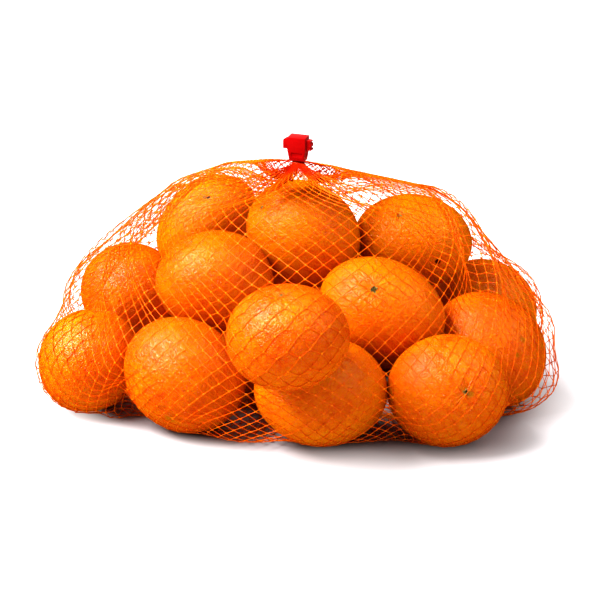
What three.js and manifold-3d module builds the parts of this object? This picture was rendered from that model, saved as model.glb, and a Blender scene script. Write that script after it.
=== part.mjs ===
// A net bag of mandarins, lying as a heap, with its net drawn up into a moulded clip.
// Millimetres, +Z up. The origin is on the ground, under the middle of the bag's box.

import * as THREE from 'three';
import { mergeVertices } from 'three/addons/utils/BufferGeometryUtils.js';
import Module from 'manifold-3d';

const wasm = await Module();
wasm.setup();

// The fruit. Each mandarin has the place of its centre and its width at the equator. Those of
// the ground layer rest on the net under them, so their height follows from their width.
const FRUIT_SQUASH = 0.87;
const NET_THICKNESS = 1.2;
const GROUND_LAYER = [
  [-117, -18, 57],
  [-62, -46, 65],
  [11, -66, 69],
  [78, -65, 62],
  [104, -11, 66],
  [110, 59, 61],
  [56, 92, 60],
  [-45, 106, 60],
  [-50, 33, 61],
  [2, -3, 62],
  [50, 35, 56],
  [0, 62, 60],
];
const UPPER_LAYER = [
  [-103, 70, 36, 60],
  [-6, -104, 75, 62],
  [-47, -6, 70, 63],
  [45, -23, 60, 68],
  [-55, 78, 77, 63],
  [2, 21, 89, 64],
  [64, 35, 80, 66],
];

// Where the net stands off the fruit: the crown round the gather and a slack fold at one side.
// Each is a flattened ball that the net wraps, as centre, half width and half height.
const CROWN = [-1, 15, 100, 60, 33];
const SLACK_FOLD = [112, 20, 40, 36, 38];

// The net, as a skin wrapped over the heap and then drawn a little way in between the fruit
const SKIN_CENTRE = [0, -5, 55];
const SKIN_DETAIL = 16;
const SKIN_FACING = 0.2;
const SKIN_STEPS = 14;
const SKIN_TENSION = 0.5;

// The gather, where the net narrows into the clip
const GATHER_X = -1;
const GATHER_Y = 15;
const GATHER_FLARE = 18;
const GATHER_DROP = 6;
const GATHER_STEPS = 8;
const NECK_WIDTH = 6.4;
const NECK_DEPTH = 3.2;

// The clip
const CLIP_FOOT = 134.5;
const CLIP_TURN = THREE.MathUtils.degToRad(-22);
const COLLAR_HEIGHT = 5;
const COLLAR_WIDTH = [8.6, 10];
const COLLAR_DEPTH = [5.2, 6.3];
const BLOCK_WIDTH = 10.4;
const BLOCK_DEPTH = 6.3;
const BLOCK_HEIGHT = 8.8;
const BLOCK_SLOPE = 0.8;
const WING_REACH = 3;
const WING_DEPTH = 3.8;
const WING_HEIGHT = 5.6;
const WING_FILLET = 1.4;
const TOOTH_DEPTH = 1.2;
const WINDOW_DEPTH = 0.5;
const WINDOW_HEIGHT = 2.4;
const SOCKET_DEPTH = 4.2;
const SOCKET_GAP = 0.3;
const ROUND_SIDES = 28;

// ---------------------------------------------------------------- solids

function bare(geometry) {
  const copy = geometry.clone();
  copy.deleteAttribute('normal');
  copy.deleteAttribute('uv');
  return mergeVertices(copy, 1e-4);
}

function toSolid(geometry) {
  const merged = bare(geometry);
  return new wasm.Manifold(new wasm.Mesh({
    numProp: 3,
    vertProperties: new Float32Array(merged.attributes.position.array),
    triVerts: new Uint32Array(merged.index.array),
  }));
}

function toGeometry(solid) {
  const mesh = solid.getMesh();
  const geometry = new THREE.BufferGeometry();
  geometry.setAttribute('position', new THREE.BufferAttribute(mesh.vertProperties, 3));
  geometry.setIndex(new THREE.BufferAttribute(mesh.triVerts, 1));
  geometry.computeVertexNormals();
  return geometry;
}

function block(width, depth, height, x, y, z) {
  return toSolid(new THREE.BoxGeometry(width, depth, height).translate(x, y, z));
}

// ---------------------------------------------------------------- net

// Each point of the skin with the points that share an edge with it
function neighboursOf(geometry) {
  const near = Array.from({ length: geometry.attributes.position.count }, () => new Set());
  const corners = geometry.index.array;
  for (let i = 0; i < corners.length; i += 3) {
    for (let k = 0; k < 3; k += 1) {
      const from = corners[i + k];
      const to = corners[i + ((k + 1) % 3)];
      near[from].add(to);
      near[to].add(from);
    }
  }
  return near.map((set) => [...set]);
}

// Every rounded thing that the net wraps, as a centre and its half width and half height
function wrappedThings() {
  const grounded = GROUND_LAYER.map(([x, y, width]) => [
    x, y, (width / 2) * FRUIT_SQUASH + NET_THICKNESS, width,
  ]);
  const fruit = [...grounded, ...UPPER_LAYER].map(([x, y, z, width]) => ({
    centre: new THREE.Vector3(x, y, z),
    across: width / 2 + NET_THICKNESS,
    high: (width / 2) * FRUIT_SQUASH + NET_THICKNESS,
  }));
  const slack = [CROWN, SLACK_FOLD].map(([x, y, z, across, high]) => ({
    centre: new THREE.Vector3(x, y, z), across, high,
  }));
  return { fruit, slack };
}

// How far a thing reaches from the skin's centre along a direction
function reach(thing, direction, origin) {
  const flat = Math.hypot(direction.x, direction.y) * thing.across;
  const offset = thing.centre.clone().sub(origin).dot(direction);
  return offset + Math.hypot(flat, direction.z * thing.high);
}

// The tightest convex wrap: along each direction, the nearest of the planes that touch the heap
function wrap(directions, things, origin) {
  const planes = directions.map((d) => Math.max(...things.map((t) => reach(t, d, origin))));
  return directions.map((direction) => {
    let length = Infinity;
    directions.forEach((plane, i) => {
      const facing = direction.dot(plane);
      if (facing > SKIN_FACING) {
        length = Math.min(length, planes[i] / facing);
      }
    });
    return direction.clone().multiplyScalar(length).add(origin);
  });
}

// A point inside a mandarin goes straight out to its surface, and none goes under the ground
function pushOut(point, fruit) {
  const away = new THREE.Vector3();
  for (const { centre, across, high } of fruit) {
    away.subVectors(point, centre);
    const depth = Math.hypot(away.x / across, away.y / across, away.z / high);
    if (depth < 1) {
      point.copy(centre).addScaledVector(away, 1 / depth);
    }
  }
  point.z = Math.max(point.z, 0);
}

function stretchedSkin() {
  const geometry = bare(new THREE.IcosahedronGeometry(1, SKIN_DETAIL));
  const near = neighboursOf(geometry);
  const source = geometry.attributes.position;
  const directions = near.map((_, i) => new THREE.Vector3().fromBufferAttribute(source, i));
  const { fruit, slack } = wrappedThings();
  let points = wrap(directions, [...fruit, ...slack], new THREE.Vector3(...SKIN_CENTRE));
  for (let step = 0; step < SKIN_STEPS; step += 1) {
    points = points.map((point, i) => {
      const pull = new THREE.Vector3();
      near[i].forEach((j) => pull.add(points[j]));
      pull.divideScalar(near[i].length).sub(point);
      const moved = point.clone().addScaledVector(pull, SKIN_TENSION);
      pushOut(moved, fruit);
      return moved;
    });
  }
  points.forEach((point, i) => source.setXYZ(i, point.x, point.y, point.z));
  return toSolid(geometry);
}

// An upright oval peg, turned as the clip is
function ovalPeg(width, depth, foot, top) {
  const peg = new THREE.CylinderGeometry(0.5, 0.5, top - foot, ROUND_SIDES).rotateX(Math.PI / 2);
  return peg.scale(width, depth, 1).translate(0, 0, (top + foot) / 2);
}

// The bunched strands flare from the clip like the bell of a horn, under an oval neck
function gather() {
  const throat = NECK_DEPTH / 2;
  const profile = [new THREE.Vector2(0, -GATHER_DROP * 2)];
  for (let i = 0; i <= GATHER_STEPS; i += 1) {
    const down = 1 - i / GATHER_STEPS;
    const radius = throat + (GATHER_FLARE - throat) * down ** 2.2;
    profile.push(new THREE.Vector2(radius, -SOCKET_GAP - GATHER_DROP * down));
  }
  profile.push(new THREE.Vector2(0, -SOCKET_GAP));
  const horn = new THREE.LatheGeometry(profile, ROUND_SIDES).rotateX(Math.PI / 2);
  const neck = ovalPeg(NECK_WIDTH, NECK_DEPTH, -GATHER_DROP / 2, SOCKET_DEPTH - SOCKET_GAP);
  const place = new THREE.Matrix4().makeRotationZ(CLIP_TURN);
  place.setPosition(GATHER_X, GATHER_Y, CLIP_FOOT);
  return toSolid(horn.applyMatrix4(place)).add(toSolid(neck.applyMatrix4(place)));
}

function netBag() {
  return stretchedSkin().add(gather());
}

// ---------------------------------------------------------------- clip

// The collar widens upwards from the gather to the block
function collar() {
  const geometry = new THREE.BoxGeometry(1, 1, COLLAR_HEIGHT).translate(0, 0, COLLAR_HEIGHT / 2);
  const corners = geometry.attributes.position;
  for (let i = 0; i < corners.count; i += 1) {
    const level = corners.getZ(i) > COLLAR_HEIGHT / 2 ? 1 : 0;
    corners.setX(i, corners.getX(i) * COLLAR_WIDTH[level]);
    corners.setY(i, corners.getY(i) * COLLAR_DEPTH[level]);
  }
  return toSolid(geometry);
}

// The block, with the slope of its lid from the back edge to the front edge
function clipBlock() {
  const side = new THREE.Shape();
  const half = BLOCK_DEPTH / 2;
  side.moveTo(-half, 0);
  side.lineTo(half, 0);
  side.lineTo(half, BLOCK_HEIGHT);
  side.lineTo(-half, BLOCK_HEIGHT - BLOCK_SLOPE);
  side.closePath();
  const geometry = new THREE.ExtrudeGeometry(side, { depth: BLOCK_WIDTH, bevelEnabled: false });
  geometry.rotateX(Math.PI / 2).rotateZ(Math.PI / 2);
  return toSolid(geometry.translate(-BLOCK_WIDTH / 2, 0, COLLAR_HEIGHT));
}

// One wing, to the right of the block, with a rounded shoulder and a filleted underside
function wing() {
  const outline = new THREE.Shape();
  const inner = -1;
  outline.moveTo(inner, -WING_FILLET);
  outline.lineTo(0, -WING_FILLET);
  outline.absarc(WING_FILLET, -WING_FILLET, WING_FILLET, Math.PI, Math.PI / 2, true);
  outline.lineTo(WING_REACH, 0);
  outline.lineTo(WING_REACH, WING_HEIGHT - WING_FILLET);
  outline.absarc(WING_REACH - WING_FILLET, WING_HEIGHT - WING_FILLET, WING_FILLET, 0, Math.PI / 2);
  outline.lineTo(inner, WING_HEIGHT);
  outline.closePath();
  const options = { depth: WING_DEPTH, bevelEnabled: false, curveSegments: 6 };
  const geometry = new THREE.ExtrudeGeometry(outline, options).rotateX(Math.PI / 2);
  return geometry.translate(BLOCK_WIDTH / 2, WING_DEPTH / 2, COLLAR_HEIGHT + WING_FILLET);
}

// Three-sided notches that leave teeth along the catch on the right wing
function notches() {
  const edge = BLOCK_WIDTH / 2 + WING_REACH;
  const levels = [1.4, WING_HEIGHT - 1.3];
  return levels.map((level) => {
    const cutter = new THREE.CylinderGeometry(TOOTH_DEPTH, TOOTH_DEPTH, WING_DEPTH * 2, 3);
    cutter.rotateY(-Math.PI / 2);
    return toSolid(cutter.translate(edge + 0.2, 0, COLLAR_HEIGHT + WING_FILLET + level));
  });
}

// Shallow windows in the four faces of the collar, above its foot rim
function windows() {
  const level = COLLAR_HEIGHT - WINDOW_HEIGHT / 2 - 0.4;
  const wide = 6.4;
  const deep = 3.4;
  return [-1, 1].flatMap((sign) => [
    block(wide, WINDOW_DEPTH * 2, WINDOW_HEIGHT, 0, (sign * COLLAR_DEPTH[1]) / 2, level),
    block(WINDOW_DEPTH * 2, deep, WINDOW_HEIGHT, (sign * COLLAR_WIDTH[1]) / 2, 0, level),
  ]);
}

function closingClip() {
  let clip = collar().add(clipBlock());
  clip = clip.add(toSolid(wing())).add(toSolid(wing().rotateZ(Math.PI)));
  for (const cutter of [...notches(), ...windows()]) {
    clip = clip.subtract(cutter);
  }
  const room = 2 * SOCKET_GAP;
  return clip.subtract(toSolid(ovalPeg(NECK_WIDTH + room, NECK_DEPTH + room, -1, SOCKET_DEPTH)));
}

// ---------------------------------------------------------------- bag

const netMaterial = new THREE.MeshStandardMaterial({ color: 0xff7a1a, roughness: 0.5 });
const clipMaterial = new THREE.MeshStandardMaterial({ color: 0xe00b0b, roughness: 0.35 });

const net = new THREE.Mesh(toGeometry(netBag()), netMaterial);
net.name = 'net_bag';

const clip = new THREE.Mesh(toGeometry(closingClip()), clipMaterial);
clip.name = 'clip';
clip.position.set(GATHER_X, GATHER_Y, CLIP_FOOT);
clip.rotation.z = CLIP_TURN;

const bag = new THREE.Group();
bag.add(net, clip);
const middle = new THREE.Box3().setFromObject(bag).getCenter(new THREE.Vector3());
bag.position.set(-middle.x, -middle.y, 0);

export default bag;
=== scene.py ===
# %% [markdown]
# # A net bag of mandarins
#
# Nineteen mandarins lie in a heap inside an orange net, which a red plastic clip closes at the
# top. The frame holds the plain solids of the bag and the clip at their real size. This lesson
# builds what is really there: each fruit with its pores and calyx, the knotted net that is
# stretched over the heap, the seal under it and the moulded clip.
#
# All modelling is done in millimetres, in the heap's own frame. Each piece is scaled to metres
# and moved to the clip's place in one last step, so every size below reads like a ruler.

# %% The frame, and the tools that the lesson needs
import math

import bmesh
import bpy
import numpy as np
from mathutils import Matrix, Vector


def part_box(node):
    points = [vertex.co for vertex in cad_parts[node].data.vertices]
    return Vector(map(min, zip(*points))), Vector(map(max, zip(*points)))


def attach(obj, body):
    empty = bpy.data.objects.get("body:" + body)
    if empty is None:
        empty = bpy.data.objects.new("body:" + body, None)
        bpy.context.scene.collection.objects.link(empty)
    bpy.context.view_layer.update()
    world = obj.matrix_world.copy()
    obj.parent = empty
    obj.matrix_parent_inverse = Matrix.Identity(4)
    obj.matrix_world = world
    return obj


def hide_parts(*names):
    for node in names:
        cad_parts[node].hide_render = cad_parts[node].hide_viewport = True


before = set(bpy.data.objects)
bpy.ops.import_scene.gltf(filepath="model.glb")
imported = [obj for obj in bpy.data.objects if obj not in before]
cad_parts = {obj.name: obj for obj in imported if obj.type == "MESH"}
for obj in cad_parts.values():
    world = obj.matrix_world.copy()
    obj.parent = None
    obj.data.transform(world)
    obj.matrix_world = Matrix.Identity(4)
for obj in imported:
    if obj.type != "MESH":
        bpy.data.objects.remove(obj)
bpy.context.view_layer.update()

MM = 0.001
CLIP_AXIS = np.array([-1.0, 15.0])  # where the clip stands over the heap, in millimetres

clip_low, clip_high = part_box("clip")
clip_middle = (clip_low + clip_high) / 2
heap_origin = Vector((clip_middle.x - CLIP_AXIS[0] * MM, clip_middle.y - CLIP_AXIS[1] * MM, 0))
clip_foot = np.array([*CLIP_AXIS, clip_low.z / MM])
print(f"the clip's foot is {clip_foot[2]:.1f} mm up, the heap's origin is at {tuple(heap_origin)}")


# %% [markdown]
# ## A helper that finishes a piece
#
# Every piece goes through the same last steps: its millimetres become metres, its mesh moves to
# its place, and its object stays at the origin, unturned. It then rides on the frame's one body
# and takes its finish from one material.


# %% Finishing a piece
def place_mesh(mesh):
    """Turns a mesh drawn in the heap's millimetres into metres in the frame."""
    mesh.transform(Matrix.Translation(heap_origin) @ Matrix.Scale(MM, 4))
    mesh.update()


def add_piece(name, mesh, material):
    """Makes the finished object of a mesh that is in place already."""
    mesh.name = name
    mesh.materials.clear()
    mesh.materials.append(material)
    piece = bpy.data.objects.new(name, mesh)
    bpy.context.scene.collection.objects.link(piece)
    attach(piece, "root")
    print(f"{name}: {sum(len(p.vertices) - 2 for p in mesh.polygons)} triangles")
    return piece


def shade_smooth(mesh):
    mesh.polygons.foreach_set("use_smooth", [True] * len(mesh.polygons))


def mesh_from(bm, name):
    """Closes a bmesh into a smooth shaded mesh in the frame."""
    bmesh.ops.recalc_face_normals(bm, faces=bm.faces)
    mesh = bpy.data.meshes.new(name)
    bm.to_mesh(mesh)
    bm.free()
    place_mesh(mesh)
    shade_smooth(mesh)
    return mesh


def real_mesh(drawn):
    """The finished mesh of a curve or of a mesh with modifiers, which is then removed."""
    bpy.context.scene.collection.objects.link(drawn)
    depsgraph = bpy.context.evaluated_depsgraph_get()
    mesh = bpy.data.meshes.new_from_object(drawn.evaluated_get(depsgraph))
    bpy.data.objects.remove(drawn)
    place_mesh(mesh)
    shade_smooth(mesh)
    return mesh


# %% [markdown]
# ## Shader maths as plain expressions
#
# Procedural materials need many small sums. The `Value` class below wraps a node's output, so
# that `1 - pore * 0.4` adds the Math nodes by itself. `Material.node` makes any other node from
# its type, its settings and its inputs, which keeps each material down to a few readable lines.


# %% A socket that can be added and multiplied
class Value:
    """One output of a node, which takes plus, minus, times and the rest like a number."""

    def __init__(self, owner, socket):
        self.owner = owner
        self.socket = socket

    def maths(self, operation, first, second=0.0, clamp=False):
        settings = {"operation": operation, "use_clamp": clamp}
        return self.owner.node("ShaderNodeMath", settings, {0: first, 1: second})[0]

    def __add__(self, other):
        return self.maths("ADD", self, other)

    def __radd__(self, other):
        return self.maths("ADD", other, self)

    def __sub__(self, other):
        return self.maths("SUBTRACT", self, other)

    def __rsub__(self, other):
        return self.maths("SUBTRACT", other, self)

    def __mul__(self, other):
        return self.maths("MULTIPLY", self, other)

    def __rmul__(self, other):
        return self.maths("MULTIPLY", other, self)

    def __truediv__(self, other):
        return self.maths("DIVIDE", self, other)

    def __pow__(self, other):
        return self.maths("POWER", self, other)

    def clamped(self):
        return self.maths("ADD", self, 0.0, clamp=True)

    def lesser(self, other):
        return self.maths("MINIMUM", self, other)


class Material:
    """A material that is built by nodes, one short call for each."""

    def __init__(self, name):
        self.material = bpy.data.materials.new(name)
        self.material.use_nodes = True
        self.tree = self.material.node_tree
        self.shader = self.tree.nodes["Principled BSDF"]

    def node(self, kind, settings=None, inputs=None):
        node = self.tree.nodes.new(kind)
        for key, value in (settings or {}).items():
            if key == "stops":
                fill_ramp(node.color_ramp, value)
            else:
                setattr(node, key, value)
        for key, value in (inputs or {}).items():
            self.feed(node.inputs[key], value)
        return Outputs(self, node)

    def feed(self, socket, value):
        if isinstance(value, Value):
            self.tree.links.new(value.socket, socket)
        else:
            socket.default_value = value

    def attribute(self, name, kind="Fac"):
        return self.node("ShaderNodeAttribute", {"attribute_name": name})[kind]

    def place(self):
        return self.node("ShaderNodeTexCoord")["Object"]

    def noise(self, vector, scale, detail=2.0, roughness=0.5):
        inputs = {"Vector": vector, "Scale": scale, "Detail": detail, "Roughness": roughness}
        return self.node("ShaderNodeTexNoise", {}, inputs)["Fac"]

    def vector(self, operation, first, second=(0, 0, 0), scale=1.0, output="Vector"):
        inputs = {0: first, 1: second, 3: scale}
        return self.node("ShaderNodeVectorMath", {"operation": operation}, inputs)[output]

    def ramp(self, value, stops):
        return self.node("ShaderNodeValToRGB", {"stops": stops}, {"Fac": value})["Color"]

    def smooth_step(self, value, low, high):
        settings = {"interpolation_type": "SMOOTHSTEP"}
        inputs = {"Value": value, "From Min": low, "From Max": high}
        return self.node("ShaderNodeMapRange", settings, inputs)["Result"]

    def mix(self, share, first, second):
        settings = {"data_type": "RGBA"}
        return self.node("ShaderNodeMix", settings, {0: share, 6: first, 7: second})[2]

    def bump(self, height, distance, strength=1.0, normal=None):
        inputs = {"Height": height, "Distance": distance, "Strength": strength}
        if normal is not None:
            inputs["Normal"] = normal
        return self.node("ShaderNodeBump", {}, inputs)["Normal"]

    def surface(self, **inputs):
        for key, value in inputs.items():
            self.feed(self.shader.inputs[key.replace("_", " ")], value)
        return self.material


class Outputs:
    """A node's outputs by name or by number, each as a Value."""

    def __init__(self, owner, node):
        self.owner = owner
        self.node = node

    def __getitem__(self, key):
        return Value(self.owner, self.node.outputs[key])


def fill_ramp(ramp, stops):
    while len(ramp.elements) < len(stops):
        ramp.elements.new(0.5)
    for element, (position, tint) in zip(ramp.elements, stops):
        element.position = position
        element.color = tint


def colour(red, green, blue):
    """A screen colour of 0 to 255 as the linear colour that shaders work in."""
    shares = [c / 255 for c in (red, green, blue)]
    return (*[s / 12.92 if s <= 0.04045 else ((s + 0.055) / 1.055) ** 2.4 for s in shares], 1.0)


# %% [markdown]
# ## Camera, floor and light
#
# The bag stands on a plain white floor. The camera looks down on it by 20 degrees through a
# long lens, from about a metre away. One wide soft light stands high on the left, a weak one
# high on the right, and a white surrounding fills the shadows, as on a table in a studio.
#
# The floor glows faintly, a painted light as of a white table lit from below, and the glow also
# brightens the undersides of the fruit. It stops where the bag covers the table and fades in
# along the bag's front and right end, which paints the bag's shadow on the floor. That is
# quicker than a scene of large white reflectors, and it keeps the soft edge of the painted
# shadow easy to place.

# %% The camera
CAMERA_PITCH = math.radians(20)
CAMERA_DISTANCE = 1100.0
CAMERA_TARGET = np.array([0.0, 0.0, 58.0])
CAMERA_LENS = 118.8


def in_frame(point):
    """A point in the heap's millimetres as one in the frame's metres."""
    return Vector(point) * MM + heap_origin


def look_at(thing, target):
    direction = Vector(target) - thing.location
    thing.rotation_euler = direction.to_track_quat("-Z", "Y").to_euler()


camera_data = bpy.data.cameras.new("camera")
camera_data.lens = CAMERA_LENS
camera = bpy.data.objects.new("camera", camera_data)
bpy.context.scene.collection.objects.link(camera)
camera_way = np.array([0, -math.cos(CAMERA_PITCH), math.sin(CAMERA_PITCH)])
camera.location = in_frame(CAMERA_TARGET + CAMERA_DISTANCE * camera_way)
look_at(camera, in_frame(CAMERA_TARGET))
bpy.context.scene.camera = camera
print(f"the camera is {camera.location.length:.2f} m from the bag")

# %% The floor
FLOOR_SIZE = 6.0  # the floor's own sizes and places are in metres
PAINTED_FLOOR_GLOW = 0.53  # the strength of the floor's painted glow, which is dark where the bag covers it
FOOTPRINT = (0.140, 0.098)  # half the bag's length and depth on the table
FOOTPRINT_BACK = 0.020
FOOTPRINT_EDGE = (0.84, 1.02)  # where the glow sets in, as a share of the footprint
SHADE_MIDDLE = (0.012, -0.046)  # the bag's shadow follows its front, then its right end
SHADE_CORNER = (0.095, -0.052)
SHADE_END = (0.111, 0.018)
SHADE_EDGE = (0.010, 0.062)  # how far from that line the glow starts, and where it is full

floor_bm = bmesh.new()
bmesh.ops.create_grid(floor_bm, x_segments=1, y_segments=1, size=FLOOR_SIZE / 2)
floor_mesh = bpy.data.meshes.new("floor")
floor_bm.to_mesh(floor_mesh)
floor_bm.free()
floor_paint = Material("white_table_painted_shadow")
floor_grain = floor_paint.noise(floor_paint.place(), 40.0)
floor_white = floor_paint.mix(floor_grain, colour(158, 153, 155), colour(162, 157, 159))
floor_place = floor_paint.node("ShaderNodeSeparateXYZ", {}, {0: floor_paint.place()})
floor_x = floor_place["X"] / FOOTPRINT[0]
floor_y = (floor_place["Y"] - FOOTPRINT_BACK) / FOOTPRINT[1]
from_bag = (floor_x * floor_x + floor_y * floor_y) ** 0.5


def from_line(start, stop):
    """How far each point of the floor lies from the line between two places."""
    across = stop[0] - start[0]
    back = stop[1] - start[1]
    x = floor_place["X"] - start[0]
    y = floor_place["Y"] - start[1]
    along = ((x * across + y * back) / (across**2 + back**2)).clamped()
    x = x - along * across
    y = y - along * back
    return (x * x + y * y) ** 0.5


# the bag's painted shadow on the floor: the glow is taken away under the bag and fades in along its
# front and right end
from_front = from_line(SHADE_MIDDLE, SHADE_CORNER)
from_shade = from_front.lesser(from_line(SHADE_CORNER, SHADE_END))
painted_light_share = floor_paint.smooth_step(from_bag, *FOOTPRINT_EDGE)
painted_light_share = painted_light_share * floor_paint.smooth_step(from_shade, *SHADE_EDGE)
# the emission colour: painted light where the floor is open, painted shadow under and beside the bag
painted_floor_light = floor_paint.mix(painted_light_share, colour(0, 0, 0), colour(255, 255, 255))
floor_finish = floor_paint.surface(
    Base_Color=floor_white,
    Roughness=0.9,
    Specular_IOR_Level=0.2,
    Emission_Color=painted_floor_light,
    Emission_Strength=PAINTED_FLOOR_GLOW,
)
floor_mesh.materials.append(floor_finish)
floor = bpy.data.objects.new("floor", floor_mesh)
bpy.context.scene.collection.objects.link(floor)
floor.visible_glossy = False
print(f"the floor is {FLOOR_SIZE:.0f} m wide")

# %% The lights
KEY_WAY = Vector((-0.60, -0.16, 0.76))
KEY_DISTANCE = 4.0
KEY_SIZE = 2.2
KEY_WATTS = 390.0
FILL_WAY = Vector((0.70, -0.12, 0.72))
FILL_DISTANCE = 3.0
FILL_SIZE = 2.6
FILL_WATTS = 34.0
SURROUNDING = 0.46


def soft_light(name, way, distance, size, watts):
    data = bpy.data.lights.new(name, "AREA")
    data.shape = "SQUARE"
    data.size = size
    data.energy = watts
    light = bpy.data.objects.new(name, data)
    bpy.context.scene.collection.objects.link(light)
    light.location = in_frame(CAMERA_TARGET) + way.normalized() * distance
    look_at(light, in_frame(CAMERA_TARGET))


soft_light("key", KEY_WAY, KEY_DISTANCE, KEY_SIZE, KEY_WATTS)
soft_light("fill", FILL_WAY, FILL_DISTANCE, FILL_SIZE, FILL_WATTS)

world = bpy.data.worlds.new("white_surrounding")
world.use_nodes = True
world.node_tree.nodes["Background"].inputs["Color"].default_value = (1, 1, 1, 1)
world.node_tree.nodes["Background"].inputs["Strength"].default_value = SURROUNDING
world.cycles_visibility.glossy = False
bpy.context.scene.world = world
bpy.context.scene.view_settings.view_transform = "Standard"
bpy.context.scene.view_settings.look = "High Contrast"
print(f"the key light has {KEY_WATTS:.0f} W, the fill light {FILL_WATTS:.0f} W")


# %% [markdown]
# ## The heap
#
# A mandarin is a flattened ball, never quite round. Each line below is one fruit: its centre,
# its three widths, how far its long side leans in the view from the front, and the way that its
# stem end points. Twelve lie on the table, the third in the list is wedged a little above it,
# and six lie on top of them. The last six can't be seen from the front: they hold up the ones
# that can.

# %% The nineteen mandarins
FRUIT_LEAN = -CAMERA_PITCH  # the widths are those that show from the camera's height
FRUIT = [
    # centre             widths        tilt  stem
    ((-116, -18, 28), (58, 56, 54), -46, (-0.3, 0.9, 0.3)),
    ((-62, -46, 31), (67, 64, 59), 33, (0.3, 0.6, -0.7)),
    ((-99, 69, 36), (61, 58, 58), 20, (-0.5, 0.8, 0.2)),
    ((-47, -6, 70), (64, 62, 55), -5, (-0.45, -0.19, 0.87)),
    ((-55, 76, 77), (66, 60, 48), -42, (0.01, -0.64, 0.77)),
    ((2, 21, 89), (65, 61, 57), 34, (-0.75, -0.29, 0.59)),
    ((-6, -104, 75), (62, 60, 53), -2, (-0.12, -0.31, 0.94)),
    ((11, -66, 30), (70, 68, 58), 2, (0.5, 0.8, -0.3)),
    ((64, 35, 80), (67, 64, 52), 6, (-0.29, -0.63, 0.72)),
    ((45, -23, 60), (71, 60, 54), 24, (-0.21, -0.72, 0.66)),
    ((78, -65, 30), (63, 55, 59), -12, (0.29, -0.90, 0.33)),
    ((104, -11, 31.4), (67, 62, 60), 40, (0.2, 0.8, 0.5)),
    ((108, 59, 30), (62, 59, 57), 25, (0.6, 0.7, 0.4)),
    ((-46, 48, 26.4), (57, 56, 53), 10, (-0.2, 0.3, 0.9)),
    ((-18, 2, 26), (55, 54, 52), -20, (0.6, 0.1, 0.8)),
    ((51, 44, 26), (56, 55, 52), 0, (0.1, 0.9, 0.3)),
    ((2, 103, 29), (57, 58, 54), 15, (0.1, 0.7, 0.7)),
    ((-54, 105, 28), (56, 57, 55), -10, (-0.2, 0.8, 0.5)),
    ((59, 104, 31), (60, 59, 54), 8, (0.3, 0.7, 0.6)),
]
NET_UNDER_FRUIT = 1.0  # the heap stands on its own net
LUMPS = 7
SHOULDER = 2.12  # 2 is a true ellipsoid, more is squarer in the shoulders
STEM_DIMPLE = 0.17  # the dimple's reach round the stem end, in radians
STEM_COLLAR = (0.010, 0.38, 0.16)  # the low ring round it: its height, its place, its width
TIP_DIMPLE = (0.4, 0.22)  # the far end's dimple: its share of the stem's depth, its reach
FURROW_PLACE = (0.3, 0.22)  # where the furrows are deepest, and how far they fade
CREASES = {9: 1.0, 10: 1.0, 11: 0.6}  # how deeply the skin is creased round the stem
CREASE = 0.35  # and on the other fruit
# a painted light on whole fruit: above 0 a fruit's peel is lighter and more yellow, below 0 darker and
# more red, standing in for how much light reaches it under the net
PAINTED_LIGHT_TONE = {2: -0.05, 3: -0.07, 5: 0.16, 6: 0.10, 7: -0.07, 8: 0.05, 9: 0.18, 10: 0.08, 13: 0.08}


def unit(vector):
    vector = np.asarray(vector, float)
    return vector / np.linalg.norm(vector, axis=-1, keepdims=True)


def hump(value, middle, width):
    """A smooth hump of height 1 round a middle value."""
    return np.exp(-(((value - middle) / width) ** 2))


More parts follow.
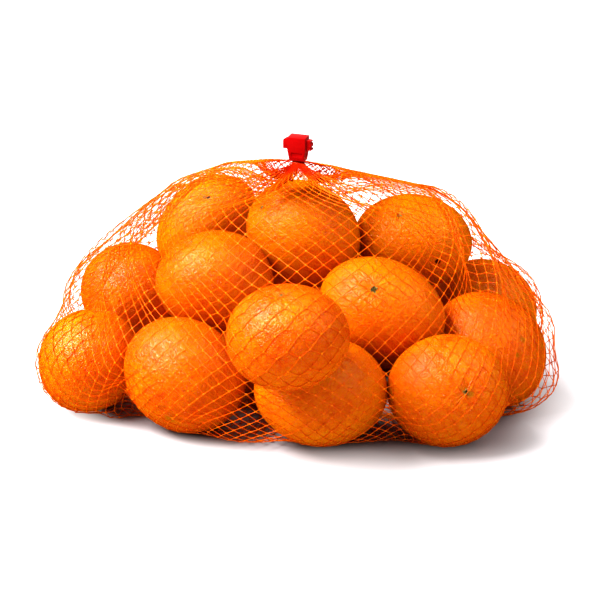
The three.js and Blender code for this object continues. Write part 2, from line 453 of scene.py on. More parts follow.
class Mandarin:
    """One fruit: its ellipsoid, and how its peel stands out from that."""

    def __init__(self, number, centre, widths, tilt, stem):
        draw = np.random.default_rng(100 + number)
        self.number = number
        self.centre = np.array(centre, float) + [0, 0, NET_UNDER_FRUIT]
        self.half = np.array(widths, float) / 2
        turn = Matrix.Rotation(FRUIT_LEAN, 3, "X") @ Matrix.Rotation(math.radians(tilt), 3, "Y")
        self.turn = np.array(turn)
        self.stem = self.way(stem)
        self.side = unit(np.cross(self.stem, [0.3, 0.5, 0.81]))
        self.other_side = np.cross(self.stem, self.side)
        self.lump_ways = unit(draw.normal(size=(LUMPS, 3)))
        self.lump_waves = draw.uniform(2.0, 5.0, LUMPS)
        self.lump_starts = draw.uniform(0, 2 * math.pi, LUMPS)
        self.lump_heights = draw.uniform(0.002, 0.006, LUMPS)
        self.dimple = draw.uniform(0.025, 0.05)
        self.furrows = int(draw.integers(7, 11))
        self.furrow_depth = draw.uniform(0.002, 0.006)
        self.tone = draw.uniform(0, 1)
        self.crease = CREASES.get(number, CREASE)
        self.yellower = PAINTED_LIGHT_TONE.get(number, 0.0)

    def way(self, direction):
        """A direction in the heap as one on the fruit's own unit ball."""
        return unit(unit(direction) @ self.turn / self.half)

    def local(self, points):
        """Points as directions from the fruit's middle, of length 1 on its ellipsoid."""
        return (points - self.centre) @ self.turn / self.half

    def world(self, local):
        return self.centre + (local * self.half) @ self.turn.T

    def swell(self, ways):
        """How far the peel stands out along unit directions, as a share of the ellipsoid."""
        up = ways @ self.stem
        around = np.sqrt(np.maximum(1 - up**2, 0))
        share = (np.abs(up) ** SHOULDER + around**SHOULDER) ** (-1 / SHOULDER)
        waves = (ways @ self.lump_ways.T) * self.lump_waves + self.lump_starts
        share += np.sin(waves) @ self.lump_heights
        from_stem = np.arccos(np.clip(up, -1, 1))
        from_tip = math.pi - from_stem
        share -= self.dimple * hump(from_stem, 0, STEM_DIMPLE)
        share += STEM_COLLAR[0] * hump(from_stem, *STEM_COLLAR[1:])
        share -= TIP_DIMPLE[0] * self.dimple * hump(from_tip, 0, TIP_DIMPLE[1])
        turn = np.arctan2(ways @ self.other_side, ways @ self.side)
        wobble = 0.6 * np.sin(2 * turn + self.lump_starts[0])
        ridge = np.cos(self.furrows * turn + wobble)
        near = hump(from_stem, *FURROW_PLACE)
        return share - self.furrow_depth * near * (1 - np.abs(ridge)) * 2

    def depth(self, points):
        """Points' distance from the middle as a share of the peel's there: under 1 is inside."""
        local = self.local(points)
        length = np.linalg.norm(local, axis=-1)
        share = length.copy()
        close = length < 1.25
        ways = local[close] / np.maximum(length[close], 1e-6)[:, None]
        share[close] = length[close] / self.swell(ways)
        return share


fruit = [Mandarin(number, *line) for number, line in enumerate(FRUIT, start=1)]
print(f"{len(fruit)} mandarins, {np.mean([body.half for body in fruit]) * 2:.0f} mm across on average")

# %% [markdown]
# ## Shaping one mandarin
#
# An icosphere has no crowded poles, so pores and lumps look alike all over it. Each vertex is
# moved out to the peel's own radius. The faces round the stem end are split once more, because
# the furrows that run into the calyx are finer than the rest. Where two fruits would run into
# each other, each gives way by half, which leaves the flat places that touching fruit have.

# %% Shaping the peel
PEEL_SPLITS = 6
STEM_REACH = 0.5  # the finer faces reach this far round the stem end, in radians
CONTACT_REACH = 90.0  # fruit whose middles are farther apart never touch
CONTACT_GAP = 1.003  # a peel is pressed half way out to this share of its neighbour's radius


def vertex_array(bm):
    return np.array([v.co for v in bm.verts], float)


def move_vertices(bm, points):
    for vertex, point in zip(bm.verts, points):
        vertex.co = point


def give_way(points, body):
    """Presses a fruit's points half way out of each neighbour that they would lie in."""
    start = points.copy()
    for other in fruit:
        gap = np.linalg.norm(other.centre - body.centre)
        if other is body or gap > CONTACT_REACH:
            continue
        share = other.depth(start)
        inside = share < 1
        push = (CONTACT_GAP + share[inside]) / 2 / share[inside]
        points[inside] = other.centre + (start[inside] - other.centre) * push[:, None]
    return points


def peel_bmesh(body):
    bm = bmesh.new()
    bmesh.ops.create_icosphere(bm, subdivisions=PEEL_SPLITS, radius=1)
    near_stem = Vector(body.stem)
    fine = [e for e in bm.edges if e.verts[0].co.dot(near_stem) > math.cos(STEM_REACH)]
    bmesh.ops.subdivide_edges(bm, edges=fine, cuts=1)
    bmesh.ops.triangulate(bm, faces=bm.faces)
    ways = unit(vertex_array(bm))
    points = body.world(ways * body.swell(ways)[:, None])
    move_vertices(bm, give_way(points, body))
    return bm, ways


# %% [markdown]
# Some fruit carry blemishes: a dry brown scar, or a patch that never ripened and stayed green.
# Each is stored as a distance from its middle, and the peel material draws its ragged edge.

# %% The blemishes, and where each vertex is on its fruit
BLEMISHES = [
    # fruit  kind     direction             radius in mm
    (9, "brown", (0.40, -0.91, -0.08), 1.9),
    (7, "brown", (-0.28, -0.36, 0.89), 0.9),
    (5, "brown", (0.08, -0.64, 0.76), 1.2),
    (11, "green", (0.37, -0.89, 0.28), 1.9),
    (12, "green", (0.55, -0.69, 0.47), 2.2),
    (12, "green", (0.42, -0.86, 0.25), 1.6),
    (2, "green", (-0.20, -0.85, -0.45), 3.0),
]
FAR = 9.0


def blemish_reach(body, kind, ways):
    """How far each direction is from the nearest blemish, as a share of its radius."""
    reach = np.full(len(ways), FAR)
    for number, of_kind, direction, radius in BLEMISHES:
        if number == body.number and of_kind == kind:
            middle = body.way(direction)
            away = np.linalg.norm(ways - middle, axis=1) * body.half.mean() / radius
            reach = np.minimum(reach, away)
    return reach


def write_peel_place(mesh, body, ways):
    """Stores where each vertex is on the fruit: across, across and along its stem, in mm."""
    axes = np.stack([body.side, body.other_side, body.stem])
    place = (ways @ axes.T) * body.half.mean()
    layer = mesh.attributes.new("peel_place", "FLOAT_VECTOR", "POINT")
    layer.data.foreach_set("vector", place.astype(np.float32).ravel())
    shares = {
        "peel_tone": np.full(len(place), body.tone),
        "yellower": np.full(len(place), body.yellower),
        "crease": np.full(len(place), body.crease),
        "brown_reach": blemish_reach(body, "brown", ways),
        "green_reach": blemish_reach(body, "green", ways),
    }
    for name, values in shares.items():
        layer = mesh.attributes.new(name, "FLOAT", "POINT")
        layer.data.foreach_set("value", values.astype(np.float32))


# %% [markdown]
# ## Peel
#
# Mandarin peel is a waxy orange skin over round oil glands, about 0.9 mm apart. Each gland is a
# small pit, deeper in colour than the skin between them. The pits break the light's reflection
# into peach-coloured crumbs. Broad clouds of yellow and red orange lie over all this, and fine
# creases run outwards from the stem. Everything is drawn in the fruit's own millimetres, and
# each fruit starts at its own place in the noise, so that no two carry the same pattern.

# %% The peel material
PORES_PER_MM = 1 / 0.9
PORE_EDGE = (0.08, 0.5)  # a pit falls off between these shares of the way to the next one
CREASE_REACH = (3.0, 15.0)  # the creases fade out between these distances from the stem, in mm


def stem_creases(paint, place, tone):
    """Fine creases that run outwards from the stem end, and fade away from it."""
    flat = paint.vector("MULTIPLY", place, (1, 1, 0))
    from_stem = paint.vector("LENGTH", flat, output="Value")
    apart = paint.node("ShaderNodeSeparateXYZ", {}, {0: place})["Z"]
    ray = paint.vector("SCALE", paint.vector("NORMALIZE", flat), scale=2.4)
    own = paint.node("ShaderNodeCombineXYZ", {}, {"Z": tone * 90.0})["Vector"]
    near = 1 - paint.smooth_step(from_stem, *CREASE_REACH)
    stem_half = paint.smooth_step(apart, 0.0, 8.0)
    return paint.noise(paint.vector("ADD", ray, own), 1.5, 3.0, 0.6) * near * stem_half


def peel_material():
    paint = Material("mandarin_peel")
    place = paint.attribute("peel_place", "Vector")
    tone = paint.attribute("peel_tone")
    apart = {"X": tone * 311.0, "Y": tone * 173.0}  # no two fruit lie in the same stretch of noise
    own = paint.vector("ADD", place, paint.node("ShaderNodeCombineXYZ", {}, apart)["Vector"])
    pore_inputs = {"Vector": own, "Scale": PORES_PER_MM}
    pits = paint.node("ShaderNodeTexVoronoi", {"feature": "F1"}, pore_inputs)["Distance"]
    pit = 1 - paint.smooth_step(pits, *PORE_EDGE)
    clouds = paint.noise(own, 0.05, 3.0, 0.55)
    mottle = paint.noise(own, 0.35, 3.0, 0.6)
    dents = paint.noise(own, 0.28, 2.0, 0.5)
    grain = paint.noise(own, 0.62, 2.0, 0.6)
    creases = stem_creases(paint, place, tone) * paint.attribute("crease")
    # the painted light on whole fruit moves each peel up or down this ramp, lighter and more yellow or
    # darker and more red
    skin = paint.ramp(
        (clouds * 0.6 + mottle * 0.4 + paint.attribute("yellower")).clamped(),
        [
            (0.30, colour(199, 88, 0)),
            (0.48, colour(207, 111, 0)),
            (0.68, colour(216, 133, 0)),
        ],
    )
    gland = paint.mix((pit * 0.4 + grain * 0.45 - 0.1).clamped(), skin, colour(190, 54, 0))
    ragged = (mottle - 0.5) * 0.8
    green = 1 - paint.smooth_step(paint.attribute("green_reach") + ragged, 0.4, 1.3)
    brown = 1 - paint.smooth_step(paint.attribute("brown_reach") + ragged, 0.75, 1.1)
    skin = paint.mix(green * 0.55, gland, colour(150, 118, 4))
    skin = paint.mix(brown, skin, colour(60, 22, 8))
    relief = paint.bump(1 - pit, 0.2 * MM, 1.0)
    relief = paint.bump(grain, 0.85 * MM, 1.0, relief)
    relief = paint.bump(dents, 0.7 * MM, 0.7, relief)
    relief = paint.bump(creases, 2.4 * MM, 1.0, relief)
    shine = (0.20 + pit * 0.1 + mottle * 0.06 + brown * 0.4).clamped()
    return paint.surface(
        Base_Color=skin,
        Roughness=shine,
        Normal=relief,
        Specular_IOR_Level=0.5,
        Specular_Tint=(1.0, 0.62, 0.62, 1.0),
        Subsurface_Weight=0.45,
        Subsurface_Radius=(1.0, 0.08, 0.03),
        Subsurface_Scale=0.012,
    )


peel_finish = peel_material()

# %% Building the mandarins
for body in fruit:
    peel_bm, ways = peel_bmesh(body)
    mesh = mesh_from(peel_bm, f"mandarin_{body.number:02d}")
    write_peel_place(mesh, body, ways)
    add_piece(mesh.name, mesh, peel_finish)

# %% [markdown]
# ## Stem ends
#
# A picked mandarin keeps its calyx: a dry star of five short sepals round the scar where the
# stalk was cut. Each star starts as a disc with four rim points to a sepal, which are pulled
# in to a notch between two tips. It is raised and inset to a low button, and laid into the
# dimple at the stem end.

# %% The calyx stars
CALYX_WIDTHS = {10: 5.4, 9: 4.8, 11: 3.6, 4: 3.0, 5: 2.8, 6: 2.6, 7: 2.8}
CALYX_WIDTH = 4.6  # on the other fruit
SEPALS = 5
SEPAL_REACH = (1.0, 0.78, 0.5, 0.78)  # the rim's share of the radius: tip, side, notch, side
SEPAL_DROOP = 0.25
BUTTON_HEIGHT = 0.5
BUTTON_STEPS = ((0.07, 0.16), (0.05, -0.3), (0.05, 0.35))  # share of the width, depth in mm


def add_calyx(bm, body):
    draw = np.random.default_rng(500 + body.number)
    width = CALYX_WIDTHS.get(body.number, CALYX_WIDTH)
    before = len(bm.verts)
    rim = bmesh.ops.create_circle(bm, cap_ends=True, radius=width / 2, segments=SEPALS * 4)["verts"]
    face = rim[0].link_faces[0]
    for step, vertex in enumerate(rim):
        vertex.co *= SEPAL_REACH[step % 4] * draw.uniform(0.82, 1.18)
        vertex.co.z -= SEPAL_DROOP
    top = bmesh.ops.extrude_discrete_faces(bm, faces=[face])["faces"][0]
    for vertex in top.verts:
        vertex.co.z += BUTTON_HEIGHT
    for share, depth in BUTTON_STEPS:
        bmesh.ops.inset_region(bm, faces=[top], thickness=width * share, depth=depth)
    bm.verts.ensure_lookup_table()
    foot = body.world(body.stem * body.swell(body.stem[None])[0])
    up = Vector(unit(foot - body.centre))
    turn = up.to_track_quat("Z", "Y").to_matrix().to_4x4()
    place = Matrix.Translation(Vector(foot)) @ turn
    bmesh.ops.transform(bm, matrix=place, verts=bm.verts[before:])


def calyx_material():
    paint = Material("dry_calyx")
    place = paint.place()
    speckle = paint.noise(place, 1400.0, 3.0, 0.6)
    skin = paint.ramp(
        speckle,
        [
            (0.30, colour(58, 44, 12)),
            (0.50, colour(122, 112, 46)),
            (0.70, colour(196, 158, 84)),
        ],
    )
    return paint.surface(Base_Color=skin, Roughness=0.75, Normal=paint.bump(speckle, 0.2 * MM))


calyx_bm = bmesh.new()
for body in fruit:
    add_calyx(calyx_bm, body)
add_piece("calyx_stars", mesh_from(calyx_bm, "calyx_stars"), calyx_material())

# %% [markdown]
# ## How the net lies
#
# The net is a knitted tube of diamonds, 96 round and 71 rows long, shut by the clip at the top
# and by a seal under the heap. Its strands hardly stretch, so the net can't be drawn over the
# fruit: it has to be settled. Each knot starts on a taut wrapping round the heap. Then, again
# and again, every strand is brought back to its length, each knot moves a little towards the
# middle of its neighbours, the springy tube pushes outwards, and no knot may enter a fruit or
# the table.

# %% The net's sizes
NET_ROUND = 96
NET_ROWS = 71
MESH_SIDE = 6.2
STRAND = 0.31  # a strand's thickness
NET_SETTLES = 450
NET_SPRING = 0.03
NET_TENSION = 0.03
NET_STIFFNESS = 0.3
NET_GIVE = 0.5  # how soon a strand that has become too short is let out again
SEAL_PLACE = np.array([0.0, -35.0, 0.9])
SEAL_RINGS = (6.0, 3.0)  # the radius of the last row but one, and of the last
NECK = (3.0, 1.5)  # half the width and depth of the neck inside the clip
NECK_ROWS = (2.5, -1.0)  # how far above the clip's foot the first two rows are held

# where the net stands off the fruit: the middle, half the width and half the height of each
SLACK = [
    ((110, -12, 20), 34, 22),
    ((117, 4, 36), 26, 26),
    ((108, 57, 32), 34, 31.5),
    ((66, 35, 81), 35, 28),
    ((-56, 75, 80), 31, 28),
    ((-103, 68, 37), 33, 31),
    ((-117, -18, 28), 29, 28),
    ((-106, 34, 44), 30, 30),
]
FLOOR_SLACK = (18, 1.6)  # a flat cushion of slack under each fruit that lies on the table
FLOOR_SLACK_FORWARD = 2
LOW_FRUIT = 40  # a fruit whose middle is lower than this lies on the table
for body in fruit:
    if body.centre[2] < LOW_FRUIT:
        cushion = (body.centre[0], body.centre[1] - FLOOR_SLACK_FORWARD, 0)
        SLACK.append((cushion, *FLOOR_SLACK))
slack_middles = np.array([line[0] for line in SLACK], float)
slack_sizes = np.array([[wide, wide, high] for _, wide, high in SLACK], float)
print(f"{NET_ROUND * NET_ROWS} knots, {len(SLACK)} slack places")


# %% Where the knots start
HULL_MIDDLE = np.array([0.0, -5.0, 55.0])
HULL_WAYS = 1500
HULL_ROOM = 1.0  # the wrapping starts this far off the fruit
HULL_FACING = 0.15  # planes that face a direction by less than this can't bound it
ROW_ENDS = (0.02, 0.98)  # how near the first and last rows start to the poles


def spread_ways(count):
    """Directions spread evenly over a ball, along a spiral."""
    step = np.arange(count)
    height = 1 - (2 * step + 1) / count
    turn = step * math.pi * (3 - math.sqrt(5))
    flat = np.sqrt(1 - height**2)
    return np.stack([flat * np.cos(turn), flat * np.sin(turn), height], -1)


def hull_reach(ways):
    """How far out the heap, the clip and the slack places reach in each direction."""
    under_clip = np.array([*CLIP_AXIS, clip_foot[2] - 1.5])
    reach = (under_clip - HULL_MIDDLE) @ ways.T + 2 * HULL_ROOM
    for middle, size in zip(slack_middles, slack_sizes):
        own = np.linalg.norm(ways * size, axis=1)
        reach = np.maximum(reach, (middle - HULL_MIDDLE) @ ways.T + own)
    for body in fruit:
        own = np.linalg.norm((ways @ body.turn) * (body.half + HULL_ROOM), axis=1)
        reach = np.maximum(reach, (body.centre - HULL_MIDDLE) @ ways.T + own)
    return reach


def start_knots():
    row, column = np.meshgrid(np.arange(NET_ROWS), np.arange(NET_ROUND), indexing="ij")
    turn = 2 * math.pi * (column + 0.5 * row) / NET_ROUND
    fall = math.pi * np.clip((row - 1) / (NET_ROWS - 3), *ROW_ENDS)
    ways = np.stack([np.sin(fall) * np.cos(turn), np.sin(fall) * np.sin(turn), np.cos(fall)], -1)
    planes = spread_ways(HULL_WAYS)
    facing = ways.reshape(-1, 3) @ planes.T
    far = hull_reach(planes)[None] / np.maximum(facing, 1e-3)
    far = np.where(facing > HULL_FACING, far, np.inf)
    points = ways.reshape(-1, 3) * far.min(1)[:, None] + HULL_MIDDLE
    points[:, 2] = np.maximum(points[:, 2], STRAND)
    return points.reshape(NET_ROWS, NET_ROUND, 3), turn


# %% One step of settling
def around(knots):
    """The middle of each knot's four neighbours, one row up and one row down."""
    middle = knots.copy()
    above, below = knots[:-2], knots[2:]
    four = above + np.roll(above, -1, axis=1) + below + np.roll(below, 1, axis=1)
    middle[1:-1] = four / 4
    return middle


def outwards(knots):
    """The net's outward direction at each knot."""
    down = np.empty_like(knots)
    down[1:-1] = knots[2:] + np.roll(knots[2:], 1, axis=1)
    down[1:-1] -= knots[:-2] + np.roll(knots[:-2], -1, axis=1)
    down[0], down[-1] = down[1], down[-2]
    across = np.roll(knots, -1, axis=1) - np.roll(knots, 1, axis=1)
    facing = np.cross(down, across)
    return facing / (np.linalg.norm(facing, axis=-1, keepdims=True) + 1e-9)


def restore_strands(knots, first, second, roll):
    """Brings the strands between two sets of rows towards their own length."""
    upper = knots[first]
    lower = np.roll(knots[second], roll, axis=1)
    strand = lower - upper
    length = np.sqrt((strand * strand).sum(-1, keepdims=True)) + 1e-9
    share = np.where(length > MESH_SIDE, 1.0, NET_GIVE)
    move = 0.5 * share * (1 - MESH_SIDE / length) * strand
    knots[first] = upper + move
    knots[second] = np.roll(lower - move, -roll, axis=1)


def keep_out(points, gap):
    """Moves points out of every fruit and off the table, to a gap in millimetres."""
    for body in fruit:
        room = 1 + gap / body.half.mean()
        share = body.depth(points)
        inside = share < room
        away = points[inside] - body.centre
        points[inside] = body.centre + away * (room / share[inside])[:, None]
    points[:, 2] = np.maximum(points[:, 2], gap)
    return points


def push_slack(points):
    """Keeps the loose corners of the net standing off the fruit."""
    for middle, size in zip(slack_middles, slack_sizes):
        away = points - middle
        share = np.linalg.norm(away / size, axis=-1)
        inside = share < 1
        points[inside] = middle + away[inside] / share[inside][:, None]
    return points


def hold_ends(knots, turn):
    """Holds the first two rows in the clip and the last two in the seal."""
    circle = np.stack([np.cos(turn), np.sin(turn), 0 * turn], -1)
    for row, height in zip((0, 1), NECK_ROWS):
        knots[row] = clip_foot + circle[row] * [*NECK, 0] + [0, 0, height]
    for row, radius in zip((-2, -1), SEAL_RINGS):
        knots[row] = SEAL_PLACE + radius * circle[row]


# %% [markdown]
# Whoever packed the bag pulled the net smooth over the front and gathered its spare width
# behind. So the columns are led back to even places round the clip's axis: one wide spread in
# front, and a closer one behind it that takes up the rest. At the clip they crowd together and
# lie forward like a fan, which opens all the way round a little farther down. There the net
# can't rise above the clip's foot.

# %% Smoothing the columns
COLUMN_SPREAD = 9.0  # from one column to the next, in millimetres
CROWD = 150.0  # nearer to the clip than half of this, the columns crowd together
FAN_TURN = 2.0  # how far round from the front the fan goes at the clip, in radians
FAN_REACH = (5.0, 50.0)  # the fan opens between these two distances from the clip's axis
FRONT_SHARE = 0.4  # the wide spread's share of the fan
FRONT_MOST = 0.8  # the largest share of the columns it may take up
FRONT_FADE = 25.0
BEHIND = (30.0, 70.0)  # the closer spread sets in between these two distances
COLUMN_FLOOR = (4.0, 14.0)  # and both spreads do between these two heights
COLUMN_PULL = 0.15  # the share of its way that a column goes in one step
COLUMN_LARGEST = 0.3  # and the longest way it is given, in radians
ROOF_REACH = 70.0
ROOF_GAP = 0.5  # the net stays this far under the clip's foot
ROOF_FALLS = (0.05, 0.22)  # how steeply the net falls off to the clip's left and right
ROOF_BACK = 0.25  # and behind it


def ease(value, limits):
    """0 up to the first limit, 1 from the second one on, and straight in between."""
    return np.clip((value - limits[0]) / (limits[1] - limits[0]), 0, 1)


def front_offsets(turn):
    """How many millimetres each column starts to the side of the front's middle."""
    from_front = (turn + 1.5 * math.pi) % (2 * math.pi) - math.pi
    return from_front / (2 * math.pi) * NET_ROUND * COLUMN_SPREAD


def even_turns(reach, size):
    """How far round each column belongs, and how many millimetres of them lie in front."""
    last = COLUMN_SPREAD * NET_ROUND / 2
    opened = ease(reach, FAN_REACH)
    back_turn = FAN_TURN + (math.pi - FAN_TURN) * opened * opened * (3 - 2 * opened)
    room = np.maximum(reach, CROWD - reach)
    front_end = np.minimum(room * FRONT_SHARE * back_turn, FRONT_MOST * last)
    front_turn = front_end / room
    behind = (size - front_end) / (last - front_end) * (back_turn - front_turn)
    return np.where(size < front_end, size / room, front_turn + behind), front_end


def smooth_columns(knots, offsets):
    """Turns the knots about the clip's axis towards their even places."""
    flat = knots[..., :2] - CLIP_AXIS
    reach = np.linalg.norm(flat, axis=-1)
    turn = np.abs(np.arctan2(flat[..., 0], -flat[..., 1]))
    size = np.abs(offsets)
    wanted, front_end = even_turns(reach, size)
    share = np.maximum(ease(front_end - size, (0, FRONT_FADE)), ease(reach, BEHIND))
    share *= ease(knots[..., 2], COLUMN_FLOOR)
    step = np.clip(wanted - turn, -COLUMN_LARGEST, COLUMN_LARGEST) * share * COLUMN_PULL
    now = np.arctan2(flat[..., 1], flat[..., 0]) + step * np.sign(offsets)
    knots[..., 0] = CLIP_AXIS[0] + reach * np.cos(now)
    knots[..., 1] = CLIP_AXIS[1] + reach * np.sin(now)


def keep_under_clip(points):
    """Presses points near the clip down under a roof that slopes away from its foot."""
    away = points[:, :2] - CLIP_AXIS
    left, right = ROOF_FALLS
    roof = clip_foot[2] - ROOF_GAP - np.where(away[:, 0] < 0, -left, right) * away[:, 0]
    roof -= ROOF_BACK * np.maximum(away[:, 1], 0)
    near = np.hypot(*away.T) < ROOF_REACH
    points[near, 2] = np.minimum(points[near, 2], roof[near])
    return points


# %% Settling the net
def row_pairs():
    """The rows on both sides of every second gap, so that no knot is moved twice at once."""
    last = NET_ROWS - 1
    pairs = []
    for start in (0, 1):
        count = len(range(start, last, 2))
        upper = slice(start, start + 2 * count, 2)
        lower = slice(start + 1, start + 1 + 2 * count, 2)
        pairs += [(upper, lower, 0), (upper, lower, 1)]
    return pairs


def settle_net():
    knots, turn = start_knots()
    offsets = front_offsets(turn)
    pairs = row_pairs()
    free = slice(2, -2)
    for _ in range(NET_SETTLES):
        knots[free] += NET_TENSION * (around(knots) - knots)[free]
        bend = around(knots) - knots
        knots[free] -= NET_STIFFNESS * (around(bend) - bend)[free]
        knots[free] += NET_SPRING * outwards(knots)[free]
        smooth_columns(knots, offsets)
        for _ in range(2):
            for upper, lower, roll in pairs:
                restore_strands(knots, upper, lower, roll)
            hold_ends(knots, turn)
        loose = keep_out(push_slack(knots[free].reshape(-1, 3)), STRAND)
        knots[free] = keep_under_clip(loose).reshape(knots[free].shape)
    return knots


knots = settle_net()
strand_lengths = np.linalg.norm(knots[1:] - knots[:-1], axis=-1)
print(f"{NET_ROUND * NET_ROWS} knots, strands {strand_lengths[2:-2].mean():.2f} mm on average")

# %% [markdown]
# ## Strands and knots
#
# Every strand runs from the clip to the seal, half of them winding one way and half the other.
# A curve with a round bevel is the plain way to draw a strand: its points may be thicker at the
# knots, where two strands are fused. The knots are one small ball, set on each crossing by
# Geometry Nodes, turned flat to the net and made real at the end.

# %% The strands
KNOT_SWELL = 2.0  # how much thicker a strand is at its knots
STRAND_REST = 0.75  # the middle of a strand's side lies this share of its thickness off the peel


def strand_points(knots, column, lean):
    """One strand's points: each knot along it, and the middle of each side between them."""
    rows = np.arange(NET_ROWS)
    line = knots[rows, (column - lean * rows) % NET_ROUND]
    middles = keep_out((line[1:] + line[:-1]) / 2, STRAND * STRAND_REST)
    points = np.empty((2 * NET_ROWS - 1, 3))
    points[0::2] = line
    points[1::2] = middles
    return points


def strand_piece(name, lean, finish):
    """All the strands that wind one way, as one mesh."""
    curve = bpy.data.curves.new(name, "CURVE")
    curve.dimensions = "3D"
    curve.bevel_depth = STRAND / 2
    curve.bevel_resolution = 1
    curve.use_fill_caps = True
    swell = np.ones(2 * NET_ROWS - 1)
    swell[0::2] = KNOT_SWELL
    for column in range(NET_ROUND):
        spline = curve.splines.new("POLY")
        points = strand_points(knots, column, lean)
        spline.points.add(len(points) - 1)
        spline.points.foreach_set("co", np.c_[points, np.ones(len(points))].ravel())
        spline.points.foreach_set("radius", swell)
    drawn = bpy.data.objects.new(name + "_curve", curve)
    return add_piece(name, real_mesh(drawn), finish)


# %% [markdown]
# ## The net's plastic
#
# The strands are drawn from clear orange plastic, so a little of what lies behind shows through
# them. At a knot two strands are fused, and the plastic is thicker, paler and nearly opaque.
# Where the net is gathered under the clip, its colour is a painted shade of deep red orange, for the
# shade that the many layers and the clip cast on one another.

# %% The net's plastic and its strands
NET_ALPHA = 0.74
KNOT_ALPHA = 0.95
# the reach of the painted shade round the clip's foot, where the plastic is also opaque
NET_GATHERED_SHADE = (12 * MM, 34 * MM)  # the deep colour fades out between these, from the clip's foot


def net_material(name, low, high, alpha):
    paint = Material(name)
    place = paint.place()
    streak = paint.noise(place, 260.0, 2.0, 0.5)
    spread = paint.ramp(streak, [(0.3, low), (0.7, high)])
    from_clip = paint.vector("DISTANCE", place, tuple(in_frame(clip_foot)), output="Value")
    opened = paint.smooth_step(from_clip, *NET_GATHERED_SHADE)
    # near the clip's foot the base colour is a painted shade of deep red orange
    return paint.surface(
        Base_Color=paint.mix(opened, colour(176, 34, 0), spread),
        Roughness=0.34,
        Alpha=(1 - opened * (1 - alpha)).clamped(),
        Specular_IOR_Level=0.35,
        Specular_Tint=(1.0, 0.7, 0.4, 1.0),
        Subsurface_Weight=0.6,
        Subsurface_Radius=(1.0, 0.5, 0.2),
        Subsurface_Scale=0.0006,
    )


net_finish = net_material("orange_net_plastic", colour(220, 96, 0), colour(230, 116, 0), NET_ALPHA)
knot_colours = (colour(232, 120, 6), colour(240, 142, 16))
knot_finish = net_material("fused_net_plastic", *knot_colours, KNOT_ALPHA)
net_left = strand_piece("net_strands_left", 0, net_finish)
strand_piece("net_strands_right", 1, net_finish)
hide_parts("net_bag")

# %% The knots
KNOT_SIZE = (0.68, 0.68, 0.34)  # half its length, width and thickness
KNOT_CLEAR = 0.92 * KNOT_SIZE[0]  # a knot's middle is at least this high over the table


def knots_tree():
    """Geometry Nodes that set one small ball on every point and make them all real."""
    tree = bpy.data.node_groups.new("knots_on_points", "GeometryNodeTree")
    tree.interface.new_socket("Geometry", in_out="INPUT", socket_type="NodeSocketGeometry")
    tree.interface.new_socket("Geometry", in_out="OUTPUT", socket_type="NodeSocketGeometry")
    start = tree.nodes.new("NodeGroupInput")
    ball = tree.nodes.new("GeometryNodeMeshIcoSphere")
    ball.inputs["Radius"].default_value = 1.0
    ball.inputs["Subdivisions"].default_value = 1
    facing = tree.nodes.new("GeometryNodeInputNamedAttribute")
    facing.data_type = "FLOAT_VECTOR"
    facing.inputs["Name"].default_value = "facing"
    turn = tree.nodes.new("FunctionNodeAlignRotationToVector")
    turn.axis = "Z"
    spread = tree.nodes.new("GeometryNodeInstanceOnPoints")
    spread.inputs["Scale"].default_value = KNOT_SIZE
    real = tree.nodes.new("GeometryNodeRealizeInstances")
    end = tree.nodes.new("NodeGroupOutput")
    for source, target in (
        (start.outputs["Geometry"], spread.inputs["Points"]),
        (ball.outputs["Mesh"], spread.inputs["Instance"]),
        (facing.outputs["Attribute"], turn.inputs["Vector"]),
        (turn.outputs["Rotation"], spread.inputs["Rotation"]),
        (spread.outputs["Instances"], real.inputs["Geometry"]),
        (real.outputs["Geometry"], end.inputs["Geometry"]),
    ):
        tree.links.new(source, target)
    return tree


def knots_piece():
    """All the knots but those inside the clip and the seal, as one mesh."""
    seeds = bpy.data.meshes.new("knot_seeds")
    inner = slice(2, -2)
    places = knots[inner].reshape(-1, 3).copy()
    places[:, 2] = np.maximum(places[:, 2], KNOT_CLEAR)
    seeds.from_pydata(places.tolist(), [], [])
    layer = seeds.attributes.new("facing", "FLOAT_VECTOR", "POINT")
    layer.data.foreach_set("vector", outwards(knots)[inner].astype(np.float32).ravel())
    drawn = bpy.data.objects.new("knot_seeds", seeds)
    drawn.modifiers.new("knots", "NODES").node_group = knots_tree()
    return add_piece("net_knots", real_mesh(drawn), knot_finish)


knots_piece()

# %% [markdown]
# ## The seal under the heap
#
# The lower end of the tube is drawn together and welded into a small flat puck. Nobody sees it
# unless the bag is turned over, but the strands have to end in something.

# %% The seal
SEAL_WIDTH = 13.0
SEAL_HEIGHT = 1.5
SEAL_TAPER = 0.8
SEAL_ROUNDING = 0.3
SEAL_OFF_TABLE = 0.05

seal_bm = bmesh.new()
bmesh.ops.create_cone(
    seal_bm,
    cap_ends=True,
    segments=24,
    radius1=SEAL_WIDTH / 2,
    radius2=SEAL_WIDTH / 2 - SEAL_TAPER,
    depth=SEAL_HEIGHT,
    matrix=Matrix.Translation((*SEAL_PLACE[:2], SEAL_HEIGHT / 2 + SEAL_OFF_TABLE)),
)
seal_rims = [e for e in seal_bm.edges if e.calc_face_angle(0) > 0.5]
bmesh.ops.bevel(
    seal_bm,
    geom=seal_rims,
    affect="EDGES",
    offset=SEAL_ROUNDING,
    segments=3,
    profile=0.5,
    material=-1,
)
add_piece("base_seal", mesh_from(seal_bm, "base_seal"), net_finish)

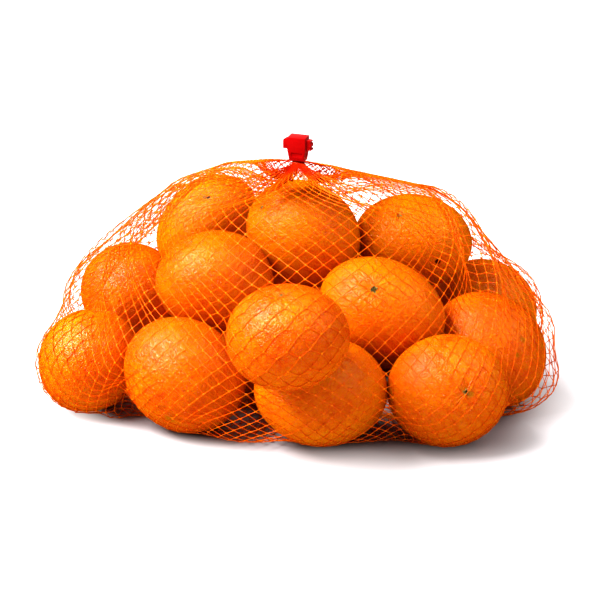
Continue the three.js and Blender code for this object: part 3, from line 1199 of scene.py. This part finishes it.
# %% [markdown]
# ## The clip
#
# The clip is moulded in red plastic, and its shape in the frame is right as it is. A moulded
# edge is never knife-sharp, though, so the piece shown is a copy of that shape whose edges are
# rounded a little. Those edges catch the light, which is what makes plastic look moulded.

# %% The clip
CLIP_ROUNDING = 0.28
CLIP_MERGE = 0.005
CLIP_FLAT = math.radians(2)  # faces that meet at less than this become one
CLIP_SHARP = math.radians(28)  # edges that turn by more than this are rounded
CLIP_CREASE = math.radians(40)  # and shading breaks at more than this


def clip_material():
    paint = Material("red_moulded_plastic")
    place = paint.place()
    haze = paint.noise(place, 350.0, 3.0, 0.5)
    grain = paint.noise(place, 2600.0, 2.0, 0.5)
    skin = paint.mix(haze, colour(158, 0, 1), colour(166, 1, 2))
    return paint.surface(
        Base_Color=skin,
        Roughness=(0.28 + haze * 0.14).clamped(),
        Normal=paint.bump(grain, 0.05 * MM, 0.5),
        Specular_IOR_Level=0.5,
        Specular_Tint=(1.0, 0.2, 0.2, 1.0),
        Sheen_Weight=0.4,
        Sheen_Roughness=0.35,
        Sheen_Tint=(1.0, 0.9, 0.9, 1.0),
    )


clip_bm = bmesh.new()
clip_bm.from_mesh(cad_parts["clip"].data)
bmesh.ops.remove_doubles(clip_bm, verts=clip_bm.verts, dist=CLIP_MERGE * MM)
bmesh.ops.dissolve_limit(clip_bm, angle_limit=CLIP_FLAT, verts=clip_bm.verts, edges=clip_bm.edges)
sharp = [e for e in clip_bm.edges if e.is_manifold and e.calc_face_angle(0) > CLIP_SHARP]
bmesh.ops.bevel(
    clip_bm,
    geom=sharp,
    affect="EDGES",
    offset=CLIP_ROUNDING * MM,
    segments=3,
    profile=0.5,
    material=-1,
    clamp_overlap=True,
)
bmesh.ops.triangulate(clip_bm, faces=clip_bm.faces)
clip_mesh = bpy.data.meshes.new("closing_clip")
clip_bm.to_mesh(clip_mesh)
clip_bm.free()
shade_smooth(clip_mesh)
clip_mesh.set_sharp_from_angle(angle=CLIP_CREASE)
clip_piece = add_piece("closing_clip", clip_mesh, clip_material())
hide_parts("clip")
